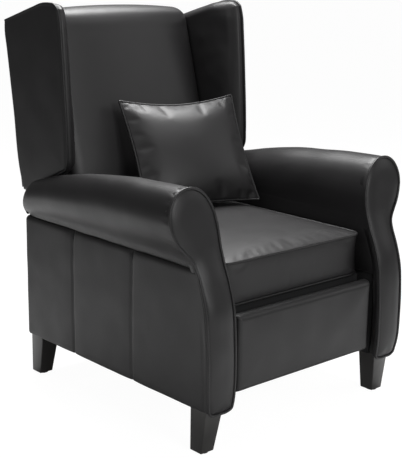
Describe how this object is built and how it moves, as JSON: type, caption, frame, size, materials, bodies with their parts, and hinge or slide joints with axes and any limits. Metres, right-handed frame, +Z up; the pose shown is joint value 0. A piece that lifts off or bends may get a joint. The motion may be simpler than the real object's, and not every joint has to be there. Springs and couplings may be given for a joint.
{
  "type": "wingback recliner",
  "caption": "Upholstered wingback recliner with scroll arms, tapered legs, a gliding seat, a fold-out footrest, a reclining back and a loose pillow.",
  "frame": {"origin": "on the floor at the middle of the object's outline at rest, front to back and side to side", "axes": "+Z up, +X to the right as seen from the front, -Y to the front of the chair, +Y to the rear"},
  "size_m": [0.8082, 0.8625, 1.0111],
  "materials": {
    "upholstery": "satin",
    "leg_finish": "matte",
    "frame_wood": "matte",
    "mechanism": "satin",
    "webbing": "matte",
    "glide": "matte"
  },
  "bodies": {
    "base": {"left_front_leg": "leg_finish", "right_front_leg": "leg_finish", "left_rear_leg": "leg_finish", "right_rear_leg": "leg_finish", "leg_glides": "glide", "leg_bolts": "mechanism", "left_arm_frame": "frame_wood", "right_arm_frame": "frame_wood", "left_side_panel": "upholstery", "right_side_panel": "upholstery", "left_inner_arm_pad": "upholstery", "right_inner_arm_pad": "upholstery", "left_arm_roll": "upholstery", "right_arm_roll": "upholstery", "left_arm_front": "upholstery", "right_arm_front": "upholstery", "base_front_rail": "frame_wood", "base_rear_rail": "frame_wood", "base_back_panel": "upholstery", "left_base_plate": "mechanism", "right_base_plate": "mechanism", "base_pivot_pins": "mechanism"},
    "front_glide_link": {"front_glide_links": "mechanism"},
    "rear_glide_link": {"rear_glide_links": "mechanism"},
    "seat": {"left_seat_rail": "mechanism", "right_seat_rail": "mechanism", "seat_rail_pins": "mechanism", "seat_front_rail": "frame_wood", "seat_rear_rail": "frame_wood", "seat_side_rails": "frame_wood", "lengthwise_webbing": "webbing", "crosswise_webbing": "webbing", "seat_cushion": "upholstery"},
    "lower_link": {"lower_links": "mechanism", "elbow_pins": "mechanism"},
    "upper_link": {"upper_links": "mechanism", "cross_pins": "mechanism"},
    "guide_link": {"guide_links": "mechanism", "cross_tube": "mechanism", "heel_pins": "mechanism"},
    "tie_link": {"tie_links": "mechanism"},
    "footrest": {"footrest_brackets": "mechanism", "footrest_pins": "mechanism", "footrest_board": "frame_wood", "footrest_pad": "upholstery"},
    "back": {"back_posts": "frame_wood", "back_top_rail": "frame_wood", "back_cross_rails": "frame_wood", "wing_spreaders": "frame_wood", "wing_boards": "frame_wood", "left_wing_panel": "upholstery", "right_wing_panel": "upholstery", "left_wing_pad": "upholstery", "right_wing_pad": "upholstery", "back_cushion": "upholstery", "outside_back": "upholstery", "back_brackets": "mechanism", "bracket_bolts": "mechanism"},
    "pillow": {"pillow": "upholstery"}
  },
  "joints": [
    {"name": "footrest_opening", "type": "hinge", "parent": "base", "child": "front_glide_link", "pos_m": [0, -0.19, 0.176], "axis": [1, 0, 0], "range_deg": [0, 44]},
    {"name": "rear_glide", "type": "hinge", "parent": "base", "child": "rear_glide_link", "pos_m": [0, 0.13, 0.176], "axis": [1, 0, 0], "range_deg": [-0.5, 44.5]},
    {"name": "seat_glide", "type": "hinge", "parent": "front_glide_link", "child": "seat", "pos_m": [0, -0.15629, 0.25945], "axis": [1, 0, 0], "range_deg": [-44.5, 0.5]},
    {"name": "lower_link_swing", "type": "hinge", "parent": "seat", "child": "lower_link", "pos_m": [0, -0.304, 0.262], "axis": [-1, 0, 0], "range_deg": [-0.5, 100.85]},
    {"name": "upper_link_fold", "type": "hinge", "parent": "lower_link", "child": "upper_link", "pos_m": [0, -0.2498, 0.142], "axis": [-1, 0, 0], "range_deg": [-108.75, 0.5]},
    {"name": "footrest_turn", "type": "hinge", "parent": "upper_link", "child": "footrest", "pos_m": [0, -0.3621, 0.2633], "axis": [-1, 0, 0], "range_deg": [-0.5, 98.4]},
    {"name": "guide_link_swing", "type": "hinge", "parent": "seat", "child": "guide_link", "pos_m": [0, -0.318, 0.3], "axis": [-1, 0, 0], "range_deg": [-0.5, 98.6]},
    {"name": "tie_link_fold", "type": "hinge", "parent": "footrest", "child": "tie_link", "pos_m": [0, -0.3322, 0.2367], "axis": [-1, 0, 0], "range_deg": [-101.4, 0.5]},
    {"name": "recline", "type": "hinge", "parent": "base", "child": "back", "pos_m": [0, 0.235, 0.366], "axis": [-1, 0, 0], "range_deg": [0, 30]},
    {"name": "pillow_lift", "type": "slide", "parent": "seat", "child": "pillow", "axis": [0, 0, 1], "range_m": [0, 0.25]}
  ],
  "couplings": [
    {"joint": "rear_glide", "follows": "footrest_opening", "ratio": 1},
    {"joint": "seat_glide", "follows": "footrest_opening", "ratio": -1},
    {"joint": "lower_link_swing", "follows": "footrest_opening", "ratio": 2.2807},
    {"joint": "upper_link_fold", "follows": "footrest_opening", "ratio": -2.4602},
    {"joint": "footrest_turn", "follows": "footrest_opening", "ratio": 2.225},
    {"joint": "guide_link_swing", "follows": "footrest_opening", "ratio": 2.2295},
    {"joint": "tie_link_fold", "follows": "footrest_opening", "ratio": -2.2932}
  ]
}
